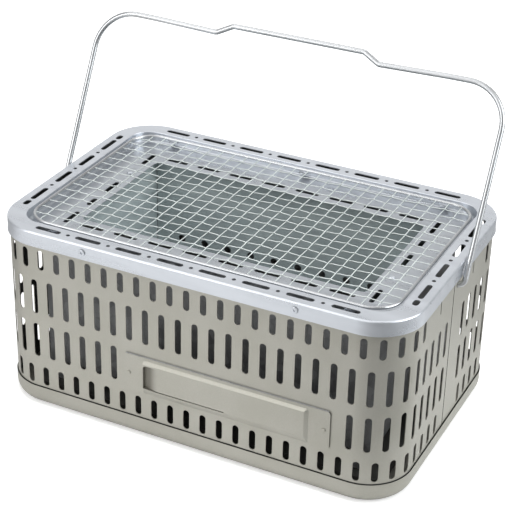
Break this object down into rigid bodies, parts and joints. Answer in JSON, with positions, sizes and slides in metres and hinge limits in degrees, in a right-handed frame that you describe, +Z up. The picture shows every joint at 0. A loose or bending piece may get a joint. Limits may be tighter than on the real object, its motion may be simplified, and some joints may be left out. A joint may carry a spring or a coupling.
{
  "type": "shichirin grill",
  "caption": "Rectangular tabletop charcoal grill with a perforated casing, slotted rim, wire net, hanging firebox, ash drawer and folding wire bail.",
  "frame": {"origin": "middle of the base pan's flat underside, where the grill stands on a table", "axes": "+X to the right along the long side, +Y to the back, +Z up; the drawer opens towards -Y"},
  "size_m": [0.4032, 0.2621, 0.3169],
  "materials": {
    "paint": "satin beige-grey paint",
    "rim": "bright plated sheet, fine satin",
    "zinc": "grey plated sheet",
    "grate": "plain thick sheet, matt",
    "black": "matt black heat-proof coat",
    "chrome": "bright plated wire"
  },
  "bodies": {
    "body": {"base_pan": "paint", "bottom_plate": "black", "casing_front": "paint", "casing_back": "paint", "top_rim": "rim", "rim_screw_front_left": "chrome", "rim_screw_front_right": "chrome", "rim_screw_back_left": "chrome", "rim_screw_back_right": "chrome", "firebox_front": "zinc", "firebox_back": "zinc", "firebox_left": "zinc", "firebox_right": "zinc", "firebox_floor": "zinc", "firebox_rivet_left": "chrome", "firebox_rivet_right": "chrome", "shield_front": "zinc", "shield_back": "zinc", "shield_left": "zinc", "shield_right": "zinc", "runner_left": "zinc", "runner_right": "zinc", "bracket_left": "zinc", "bracket_right": "zinc"},
    "drawer": {"drawer_tray": "zinc", "drawer_front": "paint", "drawer_rivet_left": "chrome", "drawer_rivet_right": "chrome"},
    "grate": {"fire_grate": "grate"},
    "bail": {"bail_handle": "chrome", "bail_washer_left": "chrome", "bail_washer_right": "chrome"},
    "net": {"net_frame": "chrome", "net_mesh": "chrome"}
  },
  "joints": [
    {"name": "bail_swing", "type": "hinge", "parent": "body", "child": "bail", "pos_m": [0, 0, 0.1578], "axis": [-1, 0, 0], "range_deg": [-145, 102]},
    {"name": "drawer_slide", "type": "slide", "parent": "body", "child": "drawer", "axis": [0, -1, 0], "range_m": [0, 0.15]},
    {"name": "net_lift", "type": "slide", "parent": "body", "child": "net", "axis": [0, 0, 1], "range_m": [0, 0.1]},
    {"name": "grate_lift", "type": "slide", "parent": "body", "child": "grate", "axis": [0, 0, 1], "range_m": [0, 0.085]}
  ]
}
